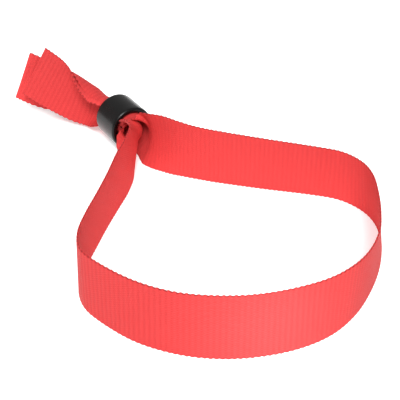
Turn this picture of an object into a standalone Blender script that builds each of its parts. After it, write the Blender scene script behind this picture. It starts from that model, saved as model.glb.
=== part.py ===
"""Woven event wristband: one ribbon looped through a black moulded bead that slides on both plies.

Metres, +Z up. The band stands on its lower selvedge, and the origin is the bottom centre of the box round it.
The ribbon is one swept sheet: flat round the loop, curled into nested C shapes inside the bead, fanned at the tails.
"""
import bmesh
import bpy
import numpy as np
from mathutils import Matrix, Vector

MM = 0.001

# ribbon
RIBBON_WIDTH = 15.0 * MM
RIBBON_THICKNESS = 0.4 * MM
ACROSS = 12          # facets across the width
PER_ROW = 3          # stations made for each row of the path tables
REST_BAND = 0.35 * MM  # lower edge points this near the floor are set down on it

# bead
BEAD_CENTRE = Vector((-19.6, 25.9, 6.3)) * MM
BEAD_HEADING = np.radians(57.0)   # bead axis, turned from +X towards -Y, pointing at the loop
BEAD_RADIUS = 5.6 * MM
BEAD_LENGTH = 9.2 * MM
BORE_RADIUS = 4.5 * MM
OUTER_ROUND = 0.6 * MM
INNER_ROUND = 0.3 * MM
TOOTH_DEPTH = 0.75 * MM
TOOTH_PITCH = 2.2 * MM
TOOTH_COUNT = 3
TOOTH_HALF_ARC = np.radians(40.0)
BEAD_FACETS = 64

# radius of each ply's curl inside the bead, measured to the middle of its thickness
FRONT_CURL = 3.1 * MM
BACK_CURL = 3.9 * MM
BORE_STATIONS = (6.6, 3.3, 0.0, -3.3, -6.6)   # millimetres along the bead, towards the loop positive

# moves the band so that the middle of its box is over the origin
SHIFT = Vector((4.485, 4.486, 0.0)) * MM

# Path of the ribbon's middle line: x, y, z in millimetres, lean of the width in degrees (top towards the
# left of travel), and curl of the width in degrees (positive curls towards the left of travel).
FRONT_TAIL = (
    (-43.6, 38.2, 14.5, 9, -25),
    (-37.2, 37.6, 11.4, 9, -50),
    (-30.6, 37.0, 8.8, 8, -115),
    (-25.0, 35.8, 6.8, 4, -220),
)
LOOP = (
    (-12.7, 19.6, 6.4, 0, -260),
    (-12.9, 16.4, 6.6, 0, -135),
    (-14.6, 13.2, 7.4, 0, -60),
    (-15.8, 9.2, 7.5, 0, -12),
    (-17.1, 3.0, 7.5, 0, 0),
    (-18.6, -3.0, 7.5, 1, 0),
    (-20.2, -10.2, 7.5, 4, 0),
    (-21.8, -17.4, 7.5, 5, 0),
    (-23.4, -24.5, 7.5, 5, 0),
    (-24.1, -30.5, 7.5, 4, 0),
    (-23.0, -35.6, 7.5, 2, 0),
    (-19.6, -39.7, 7.5, 2, 0),
    (-12.5, -45.0, 7.5, 3, 0),
    (-5.0, -48.2, 7.5, 3, 0),
    (2.4, -49.4, 7.5, 4, 0),
    (10.0, -49.1, 7.5, 4, 0),
    (18.0, -47.1, 7.5, 4, 0),
    (25.0, -43.6, 7.5, 2, 0),
    (30.6, -38.2, 7.5, 0, 0),
    (34.5, -31.5, 7.5, 1, 0),
    (36.8, -24.5, 7.5, 6, 0),
    (38.1, -17.0, 7.5, 10, 0),
    (38.2, -10.6, 7.5, 11, 0),
    (36.4, -5.4, 7.5, 10, 0),
    (32.2, -1.2, 7.5, 9, 0),
    (26.0, 1.0, 7.5, 8, 0),
    (15.0, 3.8, 7.5, 5, 0),
    (4.0, 6.9, 7.5, 2, 0),
    (-1.6, 8.9, 7.5, 0, 0),
    (-5.8, 11.0, 7.5, 0, 8),
    (-9.0, 14.0, 7.3, 0, 35),
    (-10.8, 17.2, 7.0, 0, 75),
    (-11.9, 20.1, 6.4, 0, 140),
)
BACK_TAIL = (
    (-24.4, 37.0, 6.9, -3, 130),
    (-30.6, 39.4, 8.4, -6, 65),
    (-38.6, 40.6, 10.0, -2, 38),
    (-47.4, 41.0, 11.8, 2, 20),
)

AXIS = Vector((np.cos(BEAD_HEADING), -np.sin(BEAD_HEADING), 0.0))
SIDE = Vector((np.sin(BEAD_HEADING), np.cos(BEAD_HEADING), 0.0))


def clear_scene():
    for obj in list(bpy.data.objects):
        bpy.data.objects.remove(obj, do_unlink=True)


def make_material(name, colour, roughness, sheen=0.0):
    mat = bpy.data.materials.new(name)
    mat.use_nodes = True
    shader = mat.node_tree.nodes["Principled BSDF"]
    shader.inputs["Base Color"].default_value = (*colour, 1.0)
    shader.inputs["Roughness"].default_value = roughness
    shader.inputs["Metallic"].default_value = 0.0
    shader.inputs["Sheen Weight"].default_value = sheen
    return mat


def bore_rows(curl_radius, turn_sign, stations):
    """Rows of a ply inside the bead: its middle line runs along the side of the bore away from the curl's opening."""
    curl = turn_sign * np.degrees(RIBBON_WIDTH / curl_radius)
    rows = []
    for along in stations:
        p = BEAD_CENTRE + SIDE * curl_radius + AXIS * along * MM
        rows.append((p.x / MM, p.y / MM, p.z / MM, 0.0, curl))
    return rows


def ribbon_rows():
    rows = list(FRONT_TAIL)
    rows += bore_rows(FRONT_CURL, -1, BORE_STATIONS[::-1])
    rows += list(LOOP)
    rows += bore_rows(BACK_CURL, 1, BORE_STATIONS)
    rows += list(BACK_TAIL)
    return np.array(rows, float)


def smooth(rows, per_row):
    """Catmull-Rom curve through the rows."""
    ends = np.vstack([2 * rows[0] - rows[1], rows, 2 * rows[-1] - rows[-2]])
    t = np.linspace(0.0, 1.0, per_row, endpoint=False)[:, None]
    parts = []
    for k in range(1, len(ends) - 2):
        a, b, c, d = ends[k - 1:k + 3]
        parts.append(0.5 * (2 * b + (c - a) * t + (2 * a - 5 * b + 4 * c - d) * t ** 2
                            + (3 * b - a - 3 * c + d) * t ** 3))
    parts.append(rows[-1:])
    return np.vstack(parts)


def ribbon_grid(rows, per_row, across):
    """Points of the ribbon's middle surface, stations by across + 1."""
    stations = smooth(rows, per_row)
    centre = stations[:, :3] * MM
    travel = np.gradient(centre, axis=0)
    travel /= np.linalg.norm(travel, axis=1)[:, None]
    left = np.cross([0.0, 0.0, 1.0], travel)
    left /= np.linalg.norm(left, axis=1)[:, None]
    up = np.cross(travel, left)
    lean = np.radians(stations[:, 3])[:, None]
    width = up * np.cos(lean) + left * np.sin(lean)
    depth = left * np.cos(lean) - up * np.sin(lean)
    v = np.linspace(-1.0, 1.0, across + 1)
    grid = np.empty((len(stations), across + 1, 3))
    for k, curl in enumerate(np.radians(stations[:, 4])):
        if abs(curl) < np.radians(0.5):
            rise, bulge = v * RIBBON_WIDTH / 2, np.zeros_like(v)
        else:
            radius = RIBBON_WIDTH / curl
            rise, bulge = radius * np.sin(v * curl / 2), radius * (1 - np.cos(v * curl / 2))
        grid[k] = centre[k] + rise[:, None] * width[k] + bulge[:, None] * depth[k]
    return grid


def thicken(grid, thickness):
    """Closed shell round a grid of surface points: (vertices, faces)."""
    along = np.gradient(grid, axis=0)
    over = np.gradient(grid, axis=1)
    normal = np.cross(along, over)
    normal /= np.linalg.norm(normal, axis=2)[:, :, None]
    sides = [grid - normal * thickness / 2, grid + normal * thickness / 2]
    for side in sides:
        edge = side[:, 0]
        edge[np.abs(edge[:, 2]) < REST_BAND, 2] = 0.0
    n, m = grid.shape[:2]
    verts = np.vstack([s.reshape(-1, 3) for s in sides])

    def at(layer, i, j):
        return layer * n * m + i * m + j

    faces = []
    for i in range(n - 1):
        for j in range(m - 1):
            faces.append((at(0, i, j), at(0, i, j + 1), at(0, i + 1, j + 1), at(0, i + 1, j)))
            faces.append((at(1, i, j), at(1, i + 1, j), at(1, i + 1, j + 1), at(1, i, j + 1)))
        faces.append((at(0, i, 0), at(0, i + 1, 0), at(1, i + 1, 0), at(1, i, 0)))
        faces.append((at(0, i, m - 1), at(1, i, m - 1), at(1, i + 1, m - 1), at(0, i + 1, m - 1)))
    for j in range(m - 1):
        faces.append((at(0, 0, j), at(1, 0, j), at(1, 0, j + 1), at(0, 0, j + 1)))
        faces.append((at(0, n - 1, j), at(0, n - 1, j + 1), at(1, n - 1, j + 1), at(1, n - 1, j)))
    return verts, faces


def add_object(name, verts, faces, material, origin):
    mesh = bpy.data.meshes.new(name)
    mesh.from_pydata([tuple(Vector(v) - origin) for v in verts], [], faces)
    mesh.update()
    bm = bmesh.new()
    bm.from_mesh(mesh)
    bmesh.ops.recalc_face_normals(bm, faces=bm.faces)
    bm.to_mesh(mesh)
    bm.free()
    mesh.materials.append(material)
    for poly in mesh.polygons:
        poly.use_smooth = True
    obj = bpy.data.objects.new(name, mesh)
    obj.location = origin
    bpy.context.scene.collection.objects.link(obj)
    return obj


def corner(centre_s, centre_r, radius, first, last, count):
    """Points of a rounded corner in the bead's section, angles in degrees from the radial direction."""
    angles = np.radians(np.linspace(first, last, count))
    return [(centre_s + radius * np.sin(a), centre_r + radius * np.cos(a), False) for a in angles]


def bead_section():
    """Closed section of the bead wall: distance along the axis, radius, and whether the point is a tooth crest."""
    half = BEAD_LENGTH / 2
    out_s, out_r = half - OUTER_ROUND, BEAD_RADIUS - OUTER_ROUND
    in_s, in_r = half - INNER_ROUND, BORE_RADIUS + INNER_ROUND
    section = corner(-out_s, out_r, OUTER_ROUND, -90, 0, 5)
    section += corner(out_s, out_r, OUTER_ROUND, 0, 90, 5)
    section += corner(in_s, in_r, INNER_ROUND, 90, 180, 4)
    first = (TOOTH_COUNT - 1) / 2
    for k in range(TOOTH_COUNT):
        s = (first - k) * TOOTH_PITCH
        section += [(s + 0.45 * TOOTH_PITCH, BORE_RADIUS, False), (s, BORE_RADIUS, True),
                    (s - 0.15 * TOOTH_PITCH, BORE_RADIUS, False)]
    section += corner(-in_s, in_r, INNER_ROUND, 180, 270, 4)
    return section


def make_bead(material):
    """Moulded tube with rounded rims and saw teeth on the side of the bore that the curled plies leave open."""
    section = bead_section()
    centre = BEAD_CENTRE + SHIFT
    angles = np.linspace(0.0, 2 * np.pi, BEAD_FACETS, endpoint=False)
    verts = []
    for angle in angles:
        off = np.pi - abs(angle - np.pi)
        share = np.clip(1.5 - 1.5 * off / TOOTH_HALF_ARC, 0.0, 1.0)
        radial = -SIDE * np.cos(angle) + Vector((0, 0, 1)) * np.sin(angle)
        for s, r, crest in section:
            radius = r - TOOTH_DEPTH * share if crest else r
            verts.append(centre + AXIS * s + radial * radius)
    m = len(section)
    faces = []
    for i in range(BEAD_FACETS):
        k = (i + 1) % BEAD_FACETS
        for j in range(m):
            h = (j + 1) % m
            faces.append((i * m + j, i * m + h, k * m + h, k * m + j))
    return add_object("bead_lock", verts, faces, material, centre)


def make_ribbon(material):
    grid = ribbon_grid(ribbon_rows(), PER_ROW, ACROSS) + np.array(SHIFT)
    verts, faces = thicken(grid, RIBBON_THICKNESS)
    return add_object("woven_ribbon", verts, faces, material, Vector((0.0, 0.0, 0.0)))


def main():
    clear_scene()
    red = make_material("red_ribbon", (0.90, 0.075, 0.07), 0.55, sheen=0.3)
    black = make_material("black_plastic", (0.018, 0.017, 0.015), 0.22)
    make_ribbon(red)
    make_bead(black)


main()
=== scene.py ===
"""Woven ribbon wristband with a moulded bead lock, dressed for a studio shot.

Metres, +Z up. The ribbon is one grosgrain strip: its cross ribs and looped selvedges are modelled in
the mesh, and its warp threads are in the material. Inside the bead both plies curl into nested C shapes.
"""
import math

import bmesh
import bpy
import numpy as np
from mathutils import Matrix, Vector

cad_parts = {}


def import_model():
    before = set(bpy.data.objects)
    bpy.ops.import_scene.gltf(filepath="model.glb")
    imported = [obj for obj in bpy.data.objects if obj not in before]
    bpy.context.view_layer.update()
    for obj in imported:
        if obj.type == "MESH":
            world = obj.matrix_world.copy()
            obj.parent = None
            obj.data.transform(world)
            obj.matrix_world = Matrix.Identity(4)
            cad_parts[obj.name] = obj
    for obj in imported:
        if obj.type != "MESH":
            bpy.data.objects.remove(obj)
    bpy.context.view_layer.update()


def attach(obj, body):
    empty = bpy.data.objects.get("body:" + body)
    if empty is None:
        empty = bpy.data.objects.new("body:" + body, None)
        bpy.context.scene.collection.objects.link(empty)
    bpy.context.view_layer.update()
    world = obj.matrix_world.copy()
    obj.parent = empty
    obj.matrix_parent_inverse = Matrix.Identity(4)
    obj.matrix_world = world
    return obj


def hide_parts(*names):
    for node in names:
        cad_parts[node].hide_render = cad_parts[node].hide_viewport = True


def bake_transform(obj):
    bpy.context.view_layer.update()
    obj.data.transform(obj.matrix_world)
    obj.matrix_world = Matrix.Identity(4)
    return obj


MM = 0.001

# ribbon
RIBBON_WIDTH = 15.0 * MM
HALF_GROOVE = 0.14 * MM       # half the thickness in a groove between two ribs
RIB_HEIGHT = 0.045 * MM       # how far a rib stands above the groove, on each face
RIB_PITCH = 1.1 * MM
STEPS_PER_RIB = 8
THREAD_PITCH = 0.27 * MM      # one warp thread
SELVEDGE_HALF = 0.09 * MM     # half the thickness at the selvedge
SELVEDGE_SHARE = 0.035        # share of the half width over which the selvedge thins
SELVEDGE_PLACE = 0.985        # place across the half width of one more row of points there
PICOT_PITCH = 1.1 * MM        # the selvedge's thread loops
PICOT_DEPTH = 0.20 * MM
INNER_PLACES = 21             # rows of points across the width, between the selvedges
CURL_STEPS = 200              # steps across the width in which a curl is added up
PATH_STEPS = 160              # steps from one row of the path to the next
WEAVE_UNIT = 100.0            # millimetres in one unit of the weave layout
REVERSE_AT = 50.0             # the inner face lies this many millimetres up the weave layout

# bead
BEAD_CENTRE = Vector((-19.6, 25.9, 6.3)) * MM
BEAD_HEADING = math.radians(57.0)
BEAD_RADIUS = 5.6 * MM
BEAD_LENGTH = 9.2 * MM
BORE_RADIUS = 4.5 * MM
OUTER_ROUND = 0.6 * MM
INNER_ROUND = 0.3 * MM
OUTER_ROUND_POINTS = 9
INNER_ROUND_POINTS = 6
WALL_POINTS = 13
BEAD_FACETS = 160
SHARP_ANGLE = math.radians(40.0)
TOOTH_DEPTH = 0.35 * MM
TOOTH_PITCH = 2.2 * MM
TOOTH_COUNT = 3
TOOTH_FOOT_AHEAD = 0.45 * TOOTH_PITCH    # the long flank, towards the loop
TOOTH_FOOT_BEHIND = 0.15 * TOOTH_PITCH   # the steep flank, towards the tails
TOOTH_HALF_ARC = math.radians(40.0)
TOOTH_FADE = 1.5                         # a tooth has its full depth over the first third of the half arc

# each ply in the bore: radius of its curl, where the curl's centre lies (millimetres to the side and up),
# and its lean in degrees at the tail end and at the loop end
FRONT_PLY = (2.4 * MM, (-0.6, -0.1), (10.0, 30.0))
BACK_PLY = (3.9 * MM, (0.0, 0.0), (25.0, 12.0))
BORE_STATIONS = (-5.4, -2.7, 0.0, 2.9, 5.8)   # millimetres along the bead, towards the loop positive

# moves the path and the bead so that the whole object is centred over the origin
SHIFT = Vector((4.485, 4.486, 0.0)) * MM

# Path of the ribbon's middle line: x, y, z in millimetres, lean of the width in degrees (top towards the
# left of travel), curl of the width in degrees (positive curls towards the left of travel), and how far
# the curl is gathered towards the top selvedge (0 is an even curl).
FRONT_TAIL = (
    (-43.6, 38.2, 14.5, 9, -20, 0),
    (-37.6, 37.2, 11.0, 9, -60, 0.4),
    (-32.3, 36.0, 8.4, -1, -132, 0.8),
    (-27.8, 34.8, 7.2, -7, -184, 0.6),
    (-23.9, 32.6, 6.4, 4, -245, 0.1),
)
LOOP = (
    (-14.7, 19.2, 6.3, 22, -312, 0.1),
    (-15.3, 16.2, 7.0, 8, -175, 0.8),
    (-15.4, 13.0, 7.4, 0, -75, 1.0),
    (-15.9, 9.2, 7.5, 0, -14, 0.5),
    (-17.1, 3.0, 7.5, 0, 0, 0),
    (-18.6, -3.0, 7.5, 1, 0, 0),
    (-20.2, -10.2, 7.5, 4, 0, 0),
    (-21.8, -17.4, 7.5, 5, 0, 0),
    (-23.4, -24.5, 7.5, 5, 0, 0),
    (-24.1, -30.5, 7.5, 4, 0, 0),
    (-23.0, -35.6, 7.5, 2, 0, 0),
    (-19.6, -39.7, 7.5, 2, 0, 0),
    (-12.5, -45.0, 7.5, 3, 0, 0),
    (-5.0, -48.2, 7.5, 3, 0, 0),
    (2.4, -49.4, 7.5, 4, 0, 0),
    (10.0, -49.1, 7.5, 4, 0, 0),
    (18.0, -47.1, 7.5, 4, 0, 0),
    (25.0, -43.6, 7.5, 2, 0, 0),
    (30.6, -38.2, 7.5, 0, 0, 0),
    (34.5, -31.5, 7.5, 1, 0, 0),
    (36.8, -24.5, 7.5, 6, 0, 0),
    (38.1, -17.0, 7.5, 10, 0, 0),
    (38.2, -10.6, 7.5, 11, 0, 0),
    (36.4, -5.4, 7.5, 10, 0, 0),
    (32.2, -1.2, 7.5, 9, 0, 0),
    (26.0, 1.0, 7.5, 8, 0, 0),
    (15.0, 3.8, 7.5, 5, 0, 0),
    (4.0, 6.9, 7.5, 2, 0, 0),
    (-1.6, 8.9, 7.5, 0, 0, 0),
    (-5.8, 11.0, 7.5, -4, 5, 0),
    (-8.9, 13.7, 7.2, -8, 24, 0.9),
    (-11.5, 16.7, 6.6, -9, 66, 0.8),
    (-12.4, 19.5, 6.2, -4, 126, 0.8),
)
BACK_TAIL = (
    (-23.3, 33.6, 7.6, 18, 195, 0.3),
    (-26.9, 36.7, 9.0, 20, 172, 0.5),
    (-32.4, 39.4, 9.6, 9, 94, 0.5),
    (-40.2, 40.8, 8.8, 2, 36, 0),
    (-47.4, 41.0, 11.8, 2, 18, 0),
)

AXIS = Vector((math.cos(BEAD_HEADING), -math.sin(BEAD_HEADING), 0.0))
SIDE = Vector((math.sin(BEAD_HEADING), math.cos(BEAD_HEADING), 0.0))
CENTRE = BEAD_CENTRE + SHIFT

CAMERA_TARGET = SHIFT
CAMERA_OFFSET = Vector((0.0, -152.1, 110.5)) * MM
CAMERA_LENS = 72.0            # millimetres, on a sensor 36 mm wide
SENSOR_WIDTH = 36.0

# ribbon material: linear colours
RED_PAINTED_SHADE = (0.41, 0.020, 0.022)      # painted shade, low down between the threads and in the rib grooves
RED_THREAD = (0.72, 0.061, 0.060)       # on top of a thread
RED_PATCH = (0.60, 0.044, 0.044)        # mixed in unevenly along the ribbon
PATCH_SHARE = 0.35
RED_INNER_FACE = (0.98, 0.088, 0.088)   # mixed in on the inner face
INNER_FACE_SHARE = 0.25
RED_SELVEDGE = (0.16, 0.010, 0.012)     # shade between the selvedge's thread loops
SELVEDGE_BAND = 0.26                    # millimetres at each edge that hold that shade
RED_SHEEN = (1.0, 0.45, 0.42, 1.0)
WEAVE_BUMP = 0.12 * MM

# bead material: linear colours, and the sizes of its noise
BLACK_LOW = (0.002, 0.002, 0.002)
BLACK_HIGH = (0.005, 0.004, 0.004)
GRAIN_SCALE = 2600.0
BLOTCH_SCALE = 240.0
GRAIN_BUMP = 0.01 * MM
BEAD_IOR = 1.33

# studio
FLOOR_HALF = 3.0
FLOOR_DROP = 0.02 * MM        # keeps the floor just under the ribbon's lower selvedge
FLOOR_WHITE = (0.93, 0.93, 0.93, 1.0)
FLOOR_GLOW = 0.35
WHITE = (1.0, 1.0, 1.0, 1.0)
WORLD_STRENGTH = 0.475
BAND_CENTRE = Vector((0.0, 0.0, 0.0))
# name, azimuth and elevation in degrees, distance and size in metres, watts
SOFTBOXES = (
    ("key", 6.0, 48.0, 0.9, 0.26, 5.8),
    ("fill", -16.0, 60.0, 1.1, 0.8, 7.2),
)
ACCENT_TARGET = SHIFT + Vector((13.5, -48.0, 7.5)) * MM
ACCENT_AZIMUTH = 14.0
ACCENT_ELEVATION = 36.0
ACCENT_DISTANCE = 0.5
ACCENT_WATTS = 16.0
ACCENT_CONE = math.radians(3.8)
ACCENT_LAMP_RADIUS = 0.01


def add_camera():
    cam = bpy.data.objects.new("camera", bpy.data.cameras.new("camera"))
    bpy.context.scene.collection.objects.link(cam)
    cam.data.lens = CAMERA_LENS
    cam.data.sensor_width = SENSOR_WIDTH
    cam.data.clip_start, cam.data.clip_end = 0.01, 20.0
    cam.data.dof.use_dof = False
    cam.location = CAMERA_TARGET + CAMERA_OFFSET
    cam.rotation_mode = "QUATERNION"
    cam.rotation_quaternion = (-CAMERA_OFFSET).to_track_quat("-Z", "Y")
    bpy.context.scene.camera = cam


# ---------------------------------------------------------------- materials

def new_material(name):
    mat = bpy.data.materials.new(name)
    mat.use_nodes = True
    return mat, mat.node_tree, mat.node_tree.nodes["Principled BSDF"]


def calc(tree, operation, a, b=None, c=None):
    """A Math node; a, b and c are numbers or sockets."""
    node = tree.nodes.new("ShaderNodeMath")
    node.operation = operation
    for socket, value in zip(node.inputs, (a, b, c)):
        if value is None:
            continue
        if isinstance(value, (int, float)):
            socket.default_value = value
        else:
            tree.links.new(value, socket)
    return node.outputs[0]


def ramp(tree, value, gain, base):
    """The value times gain, plus base; gain and base are numbers or sockets."""
    return calc(tree, "MULTIPLY_ADD", value, gain, base)


def wave(tree, phase):
    """A cosine wave from 0 to 1."""
    return ramp(tree, calc(tree, "COSINE", phase), gain=0.5, base=0.5)


def mix_colour(tree, factor, a, b):
    """A Mix node; a and b are colours or sockets."""
    node = tree.nodes.new("ShaderNodeMix")
    node.data_type = "RGBA"
    for socket, value in zip((node.inputs[0], node.inputs[6], node.inputs[7]), (factor, a, b)):
        if isinstance(value, (int, float)):
            socket.default_value = value
        elif isinstance(value, tuple):
            socket.default_value = (*value, 1.0)
        else:
            tree.links.new(value, socket)
    return node.outputs[2]


def noise(tree, vector, scale, detail):
    node = tree.nodes.new("ShaderNodeTexNoise")
    node.inputs["Scale"].default_value = scale
    node.inputs["Detail"].default_value = detail
    tree.links.new(vector, node.inputs["Vector"])
    return node.outputs[0]


def add_bump(tree, shader, height, strength, distance):
    bump = tree.nodes.new("ShaderNodeBump")
    bump.inputs["Strength"].default_value = strength
    bump.inputs["Distance"].default_value = distance
    tree.links.new(height, bump.inputs["Height"])
    tree.links.new(bump.outputs[0], shader.inputs["Normal"])


def ribbon_material():
    """Red grosgrain: warp threads float over the cross ribs, with shade painted into the grooves and
    between the threads.
    """
    mat, tree, shader = new_material("woven_red")
    uv = tree.nodes.new("ShaderNodeUVMap")
    uv.uv_map = "weave"
    split = tree.nodes.new("ShaderNodeSeparateXYZ")
    tree.links.new(uv.outputs[0], split.inputs[0])
    along = calc(tree, "MULTIPLY", split.outputs[0], WEAVE_UNIT)    # millimetres along the ribbon
    across = calc(tree, "MULTIPLY", split.outputs[1], WEAVE_UNIT)   # millimetres across it
    inner_face = calc(tree, "GREATER_THAN", across, REVERSE_AT / 2)
    across = calc(tree, "SUBTRACT", across, calc(tree, "MULTIPLY", inner_face, REVERSE_AT))

    ribs = calc(tree, "DIVIDE", along, RIB_PITCH / MM)
    rib = wave(tree, calc(tree, "MULTIPLY", ribs, 2 * math.pi))
    threads = calc(tree, "DIVIDE", across, THREAD_PITCH / MM)
    thread = calc(tree, "ABSOLUTE", calc(tree, "SINE", calc(tree, "MULTIPLY", threads, math.pi)))
    # every second thread floats over the other half of each rib
    parity = calc(tree, "MODULO", calc(tree, "FLOOR", threads), 2.0)
    phase = ramp(tree, ribs, gain=2 * math.pi, base=calc(tree, "MULTIPLY", parity, math.pi))
    height = calc(tree, "MULTIPLY", thread, ramp(tree, wave(tree, phase), gain=0.55, base=0.45))

    patch = noise(tree, uv.outputs[0], scale=9.0, detail=3.0)
    slub = noise(tree, uv.outputs[0], scale=160.0, detail=2.0)
    # painted shade: in the rib grooves and low between the threads the tone falls towards the painted shade
    # colour, and it rises on the rib crests; the slub noise is random tone
    tone = ramp(tree, rib, gain=0.20, base=ramp(tree, height, gain=0.54, base=0.24))
    tone = calc(tree, "ADD", tone, ramp(tree, slub, gain=0.24, base=-0.12))
    weave = mix_colour(tree, tone, RED_PAINTED_SHADE, RED_THREAD)
    weave = mix_colour(tree, calc(tree, "MULTIPLY", patch, PATCH_SHARE), weave, RED_PATCH)
    weave = mix_colour(tree, calc(tree, "MULTIPLY", inner_face, INNER_FACE_SHARE), weave, RED_INNER_FACE)
    # the selvedge's turned threads hold shade between their loops
    from_edge = calc(tree, "SUBTRACT", RIBBON_WIDTH / 2 / MM, calc(tree, "ABSOLUTE", across))
    loops = calc(tree, "COSINE", calc(tree, "MULTIPLY", along, 2 * math.pi / (PICOT_PITCH / MM)))
    edge = calc(tree, "LESS_THAN", from_edge, SELVEDGE_BAND)
    shade = calc(tree, "MULTIPLY", edge, ramp(tree, loops, gain=-0.30, base=0.42))
    tree.links.new(mix_colour(tree, shade, weave, RED_SELVEDGE), shader.inputs["Base Color"])

    # thread tops are a little smoother, and the inner face is duller
    rough = ramp(tree, height, gain=-0.14, base=ramp(tree, inner_face, gain=0.18, base=0.62))
    tree.links.new(ramp(tree, slub, gain=0.08, base=rough), shader.inputs["Roughness"])
    add_bump(tree, shader, height, strength=1.0, distance=WEAVE_BUMP)
    shader.inputs["Sheen Weight"].default_value = 0.01
    shader.inputs["Sheen Roughness"].default_value = 0.45
    shader.inputs["Sheen Tint"].default_value = RED_SHEEN
    shader.inputs["Specular IOR Level"].default_value = 0.10
    return mat


def bead_material():
    """Glossy black plastic with a fine moulded grain and slightly uneven gloss."""
    mat, tree, shader = new_material("moulded_black")
    place = tree.nodes.new("ShaderNodeTexCoord")
    fine = noise(tree, place.outputs["Object"], GRAIN_SCALE, detail=3.0)
    broad = noise(tree, place.outputs["Object"], BLOTCH_SCALE, detail=2.0)
    tree.links.new(mix_colour(tree, broad, BLACK_LOW, BLACK_HIGH), shader.inputs["Base Color"])
    rough = ramp(tree, broad, gain=0.16, base=0.15)
    tree.links.new(ramp(tree, fine, gain=0.05, base=rough), shader.inputs["Roughness"])
    add_bump(tree, shader, fine, strength=0.35, distance=GRAIN_BUMP)
    shader.inputs["IOR"].default_value = BEAD_IOR
    return mat


# ---------------------------------------------------------------- ribbon

def bore_rows(ply, turn_sign):
    """Rows of one ply through the bead, from the tail end to the loop end."""
    radius, (aside, above), leans = ply
    curl = turn_sign * math.degrees(RIBBON_WIDTH / radius)
    rows = []
    for along, lean in zip(BORE_STATIONS, np.linspace(*leans, len(BORE_STATIONS))):
        tilt = math.radians(lean)
        p = BEAD_CENTRE + AXIS * along * MM + SIDE * (aside * MM + radius * math.cos(tilt))
        z = BEAD_CENTRE.z + above * MM + turn_sign * radius * math.sin(tilt)
        rows.append((p.x / MM, p.y / MM, z / MM, lean, curl, 0.0))
    return rows


def ribbon_rows():
    """All rows of the path, and the numbers of the two rows at the middle of the bead."""
    rows = list(FRONT_TAIL) + bore_rows(FRONT_PLY, -1)
    rows += list(LOOP) + bore_rows(BACK_PLY, 1)[::-1] + list(BACK_TAIL)
    half = len(BORE_STATIONS) // 2
    return np.array(rows, float), (len(FRONT_TAIL) + half, len(rows) - len(BACK_TAIL) - 1 - half)


def smooth(rows, per_row):
    """Catmull-Rom curve through the rows."""
    ends = np.vstack([2 * rows[0] - rows[1], rows, 2 * rows[-1] - rows[-2]])
    t = np.linspace(0.0, 1.0, per_row, endpoint=False)[:, None]
    parts = []
    for k in range(1, len(ends) - 2):
        a, b, c, d = ends[k - 1:k + 3]
        parts.append(0.5 * (2 * b + (c - a) * t + (2 * a - 5 * b + 4 * c - d) * t ** 2
                            + (3 * b - a - 3 * c + d) * t ** 3))
    parts.append(rows[-1:])
    return np.vstack(parts)


def even_stations():
    """Stations a fixed length apart along the ribbon, their lengths, and the lengths of the two splits."""
    rows, splits = ribbon_rows()
    dense = smooth(rows, PATH_STEPS)
    steps = np.linalg.norm(np.diff(dense[:, :3], axis=0), axis=1) * MM
    length = np.concatenate([[0.0], np.cumsum(steps)])
    wanted = np.arange(0.0, length[-1], RIB_PITCH / STEPS_PER_RIB)
    stations = np.stack([np.interp(wanted, length, dense[:, k]) for k in range(6)], axis=1)
    return stations, wanted, [length[r * PATH_STEPS] for r in splits]


def across_places():
    """Places across the width from -1 to 1, closer together at the selvedges."""
    inner = np.linspace(-1.0 + SELVEDGE_SHARE, 1.0 - SELVEDGE_SHARE, INNER_PLACES)
    return np.concatenate([[-1.0, -SELVEDGE_PLACE], inner, [SELVEDGE_PLACE, 1.0]])


def summed_from_middle(slope):
    """How far the width has gone at each step across it, measured from its middle line."""
    steps = (slope[:, 1:] + slope[:, :-1]) / 2
    gone = np.concatenate([np.zeros((len(slope), 1)), np.cumsum(steps, axis=1)], axis=1)
    gone = gone * RIBBON_WIDTH / CURL_STEPS
    return gone - gone[:, CURL_STEPS // 2, None]


def ribbon_surface(stations, v):
    """Points of the ribbon's middle surface, and the direction of its width at each."""
    centre = stations[:, :3] * MM
    travel = np.gradient(centre, axis=0)
    travel /= np.linalg.norm(travel, axis=1)[:, None]
    left = np.cross([0.0, 0.0, 1.0], travel)
    left /= np.linalg.norm(left, axis=1)[:, None]
    up = np.cross(travel, left)
    lean = np.radians(stations[:, 3])[:, None]
    width = up * np.cos(lean) + left * np.sin(lean)
    depth = left * np.cos(lean) - up * np.sin(lean)
    fine = np.linspace(-1.0, 1.0, CURL_STEPS + 1)
    turn = np.radians(stations[:, 4:5]) / 2 * (fine + stations[:, 5:6] * fine ** 2 / 2)
    tables = (summed_from_middle(np.cos(turn)), summed_from_middle(np.sin(turn)), turn)
    rise, bulge, turn = (np.stack([np.interp(v, fine, row) for row in table]) for table in tables)
    grid = centre[:, None] + rise[..., None] * width[:, None] + bulge[..., None] * depth[:, None]
    over = np.cos(turn)[..., None] * width[:, None] + np.sin(turn)[..., None] * depth[:, None]
    return grid + np.array(SHIFT), over


def ribbon_sides(grid, over, length, v):
    """The two faces of the ribbon with their ribs, and the selvedges pulled in between their loops."""
    normal = np.cross(np.gradient(grid, axis=0), over)
    normal /= np.linalg.norm(normal, axis=2)[:, :, None]
    rib = 0.5 + 0.5 * np.cos(2 * np.pi * length / RIB_PITCH)
    half = HALF_GROOVE + RIB_HEIGHT * np.sqrt(rib)[:, None] * np.ones(len(v))
    rim = np.clip((1.0 - np.abs(v)) / SELVEDGE_SHARE, 0.0, 1.0)
    half = SELVEDGE_HALF + (half - SELVEDGE_HALF) * np.sqrt(rim)
    pull = PICOT_DEPTH * (0.5 - 0.5 * np.cos(2 * np.pi * length / PICOT_PITCH))
    grid = grid - over * (pull[:, None] * (1 - rim) * np.sign(v))[..., None]
    sides = [grid - normal * half[..., None], grid + normal * half[..., None]]
    for side in sides:
        side[..., 2] = np.maximum(side[..., 2], 0.0)
    return sides


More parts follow.
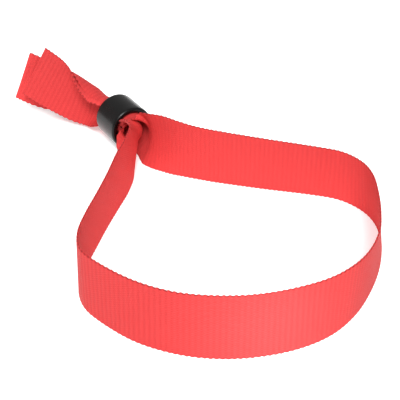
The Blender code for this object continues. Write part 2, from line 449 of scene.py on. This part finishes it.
def shell_faces(n, m):
    """Faces of a closed shell of two n by m layers of points."""
    i, j = np.meshgrid(np.arange(n - 1), np.arange(m - 1), indexing="ij")
    k = (i * m + j).ravel()
    low = np.stack([k, k + 1, k + m + 1, k + m], axis=1)
    high = n * m + np.stack([k, k + m, k + m + 1, k + 1], axis=1)
    a = np.arange(n - 1) * m
    b = a + m - 1
    first = np.stack([a, a + m, n * m + a + m, n * m + a], axis=1)
    last = np.stack([b, n * m + b, n * m + b + m, b + m], axis=1)
    c = np.arange(m - 1)
    d = (n - 1) * m + c
    start = np.stack([c, n * m + c, n * m + c + 1, c + 1], axis=1)
    end = np.stack([d, d + 1, n * m + d + 1, n * m + d], axis=1)
    return np.vstack([low, high, first, last, start, end])


def mesh_object(name, verts, faces, material, origin=Vector((0.0, 0.0, 0.0))):
    """A smooth-shaded mesh with its origin at the given point; verts are in world coordinates."""
    mesh = bpy.data.meshes.new(name)
    mesh.from_pydata((np.asarray(verts) - np.array(origin)).tolist(), [], np.asarray(faces).tolist())
    mesh.update()
    bm = bmesh.new()
    bm.from_mesh(mesh)
    bmesh.ops.recalc_face_normals(bm, faces=bm.faces)
    bm.to_mesh(mesh)
    bm.free()
    mesh.shade_smooth()
    mesh.materials.append(material)
    obj = bpy.data.objects.new(name, mesh)
    obj.location = origin
    bpy.context.scene.collection.objects.link(obj)
    return obj


def ribbon_piece(name, sides, length, v, first, last, material):
    """One stretch of the ribbon, from station first up to station last, and its length."""
    n, m = last - first, len(v)
    verts = np.vstack([s[first:last].reshape(-1, 3) for s in sides])
    obj = mesh_object(name, verts, shell_faces(n, m), material)
    mesh = obj.data
    along = np.repeat(length[first:last], m)
    across = np.tile(v * RIBBON_WIDTH / 2, n)
    place = np.tile(np.stack([along, across], axis=1), (2, 1)) / (WEAVE_UNIT * MM)
    corners = np.empty(len(mesh.loops), np.int32)
    mesh.loops.foreach_get("vertex_index", corners)
    place = place[corners]
    # the first faces of the shell are the ribbon's inner face
    place[:4 * (n - 1) * (m - 1), 1] += REVERSE_AT / WEAVE_UNIT
    layer = mesh.uv_layers.new(name="weave")
    layer.data.foreach_set("uv", place.astype(np.float32).ravel())
    return obj, float(length[last - 1] - length[first])


def make_ribbon(material):
    stations, length, splits = even_stations()
    v = across_places()
    grid, over = ribbon_surface(stations, v)
    sides = ribbon_sides(grid, over, length, v)
    cuts = [0, *[int(np.searchsorted(length, s)) for s in splits], len(length)]
    names = ("tail_front", "band_loop", "tail_back")
    return [ribbon_piece(name, sides, length, v, a, b, material)
            for name, a, b in zip(names, cuts, cuts[1:])]


# ---------------------------------------------------------------- bead

def rounded_corner(centre_s, centre_r, radius, first, last, count):
    """Points on an arc of the section, from the first angle to the last, in degrees."""
    angles = np.radians(np.linspace(first, last, count))
    return [(centre_s + radius * np.sin(a), centre_r + radius * np.cos(a), False) for a in angles]


def bead_section():
    """Closed section of the bead wall: distance along the axis, radius, and whether it is a tooth crest."""
    half = BEAD_LENGTH / 2
    out_s, out_r = half - OUTER_ROUND, BEAD_RADIUS - OUTER_ROUND
    in_s, in_r = half - INNER_ROUND, BORE_RADIUS + INNER_ROUND
    section = rounded_corner(-out_s, out_r, OUTER_ROUND, -90, 0, OUTER_ROUND_POINTS)
    section += [(s, BEAD_RADIUS, False) for s in np.linspace(-out_s, out_s, WALL_POINTS)[1:-1]]
    section += rounded_corner(out_s, out_r, OUTER_ROUND, 0, 90, OUTER_ROUND_POINTS)
    section += rounded_corner(in_s, in_r, INNER_ROUND, 90, 180, INNER_ROUND_POINTS)
    for k in range(TOOTH_COUNT):
        s = ((TOOTH_COUNT - 1) / 2 - k) * TOOTH_PITCH
        section.append((s + TOOTH_FOOT_AHEAD, BORE_RADIUS, False))
        section.append((s, BORE_RADIUS, True))
        section.append((s - TOOTH_FOOT_BEHIND, BORE_RADIUS, False))
    return section + rounded_corner(-in_s, in_r, INNER_ROUND, 180, 270, INNER_ROUND_POINTS)


def make_bead(material):
    """The bead's section turned about its axis; the teeth fade out to the sides of their arc."""
    section = bead_section()
    verts = []
    for angle in np.linspace(0.0, 2 * np.pi, BEAD_FACETS, endpoint=False):
        off = np.pi - abs(angle - np.pi)
        share = np.clip(TOOTH_FADE - TOOTH_FADE * off / TOOTH_HALF_ARC, 0.0, 1.0)
        radial = -SIDE * math.cos(angle) + Vector((0, 0, 1)) * math.sin(angle)
        for s, r, crest in section:
            radius = r - TOOTH_DEPTH * share if crest else r
            verts.append(CENTRE + AXIS * s + radial * radius)
    m = len(section)
    faces = []
    for i in range(BEAD_FACETS):
        here, there = i * m, (i + 1) % BEAD_FACETS * m
        for j in range(m):
            following = (j + 1) % m
            faces.append((here + j, here + following, there + following, there + j))
    obj = mesh_object("bead", verts, faces, material, CENTRE)
    obj.data.set_sharp_from_angle(angle=SHARP_ANGLE)
    return obj


# ---------------------------------------------------------------- studio

def make_floor():
    mat, _, shader = new_material("floor_white")
    shader.inputs["Base Color"].default_value = FLOOR_WHITE
    shader.inputs["Roughness"].default_value = 0.9
    shader.inputs["Specular IOR Level"].default_value = 0.1
    shader.inputs["Emission Color"].default_value = WHITE
    shader.inputs["Emission Strength"].default_value = FLOOR_GLOW
    signs = ((-1, -1), (1, -1), (1, 1), (-1, 1))
    verts = [(a * FLOOR_HALF, b * FLOOR_HALF, 0) for a, b in signs]
    floor = mesh_object("floor", verts, [(0, 1, 2, 3)], mat, Vector((0.0, 0.0, -FLOOR_DROP)))


def place_lamp(lamp, target, azimuth, elevation, distance):
    """A lamp aimed at its target; azimuth 0 is the camera's side, and 90 its right."""
    obj = bpy.data.objects.new(lamp.name, lamp)
    a, e = math.radians(azimuth), math.radians(elevation)
    away = Vector((math.sin(a) * math.cos(e), -math.cos(a) * math.cos(e), math.sin(e)))
    obj.location = target + away * distance
    obj.rotation_mode = "QUATERNION"
    obj.rotation_quaternion = away.to_track_quat("Z", "Y")
    bpy.context.scene.collection.objects.link(obj)


def add_softbox(name, azimuth, elevation, distance, size, watts):
    lamp = bpy.data.lights.new(name, "AREA")
    lamp.shape = "SQUARE"
    lamp.size = size
    lamp.energy = watts
    place_lamp(lamp, BAND_CENTRE, azimuth, elevation, distance)


def add_accent():
    """A soft-edged spot that lifts the right half of the front stretch."""
    lamp = bpy.data.lights.new("accent", "SPOT")
    lamp.energy = ACCENT_WATTS
    lamp.spot_size = ACCENT_CONE
    lamp.spot_blend = 1.0
    lamp.shadow_soft_size = ACCENT_LAMP_RADIUS
    place_lamp(lamp, ACCENT_TARGET, ACCENT_AZIMUTH, ACCENT_ELEVATION, ACCENT_DISTANCE)


def light_studio():
    world = bpy.data.worlds.new("studio")
    bpy.context.scene.world = world
    world.use_nodes = True
    back = world.node_tree.nodes["Background"]
    back.inputs["Color"].default_value = WHITE
    back.inputs["Strength"].default_value = WORLD_STRENGTH
    for softbox in SOFTBOXES:
        add_softbox(*softbox)
    add_accent()
    bpy.context.scene.view_settings.view_transform = "Standard"


def main():
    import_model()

    add_camera()
    red = ribbon_material()
    (tail_front, front_length), (loop, loop_length), (tail_back, back_length) = make_ribbon(red)
    bead = make_bead(bead_material())
    make_floor()
    light_studio()

    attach(bead, "bead")
    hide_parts("bead_lock")
    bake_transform(loop)
    for piece in (tail_front, tail_back):
        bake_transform(piece)
    for piece, length in ((tail_front, front_length), (loop, loop_length), (tail_back, back_length)):
        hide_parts("woven_ribbon")


main()
